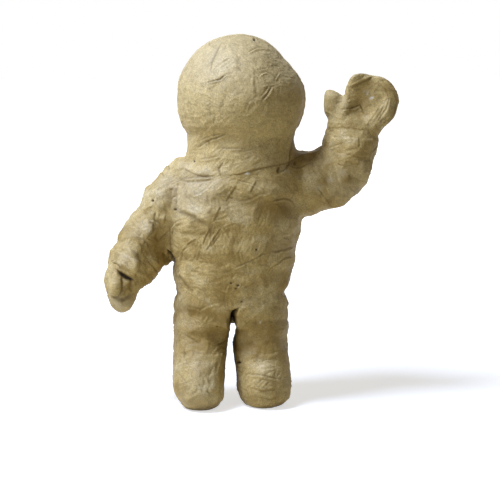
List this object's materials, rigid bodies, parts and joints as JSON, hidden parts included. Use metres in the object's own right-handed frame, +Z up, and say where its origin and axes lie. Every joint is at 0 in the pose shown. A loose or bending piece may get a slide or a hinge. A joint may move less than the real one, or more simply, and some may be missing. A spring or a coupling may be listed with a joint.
{
  "type": "papier-mache astronaut figure",
  "caption": "Standing papier-mache astronaut figure with a round helmet, a raised cupped hand and a lowered arm, an unpainted craft blank or shelf ornament.",
  "frame": {"origin": "middle of the figure's bounding box, on the floor plane under the soles", "axes": "+Z up along the figure, -Y towards the figure's front, +X towards its left side with the raised arm"},
  "size_m": [0.1908, 0.0816, 0.2401],
  "materials": {
    "kraft_paper": "matte",
    "grey_card": "matte",
    "newsprint": "matte"
  },
  "bodies": {
    "root": {"helmet_front_shell": "kraft_paper", "helmet_back_shell": "kraft_paper", "helmet_seam_strip": "kraft_paper", "neck_band": "kraft_paper", "trunk_front_shell": "kraft_paper", "trunk_back_shell": "kraft_paper", "trunk_right_seam_strip": "kraft_paper", "trunk_left_seam_strip": "kraft_paper", "right_sleeve": "kraft_paper", "right_wrist_band": "kraft_paper", "right_mitt": "kraft_paper", "right_thumb": "kraft_paper", "right_leg_wrap": "kraft_paper", "right_boot": "kraft_paper", "right_toe_cap": "kraft_paper", "left_sleeve": "kraft_paper", "left_wrist_band": "kraft_paper", "left_mitt": "kraft_paper", "left_thumb": "kraft_paper", "left_leg_wrap": "kraft_paper", "left_boot": "kraft_paper", "left_toe_cap": "kraft_paper", "neck_tube": "grey_card", "hip_disc": "grey_card", "right_leg_tube": "grey_card", "left_leg_tube": "grey_card", "right_sole": "grey_card", "left_sole": "grey_card", "right_arm_core": "newsprint", "left_arm_core": "newsprint"}
  },
  "joints": []
}
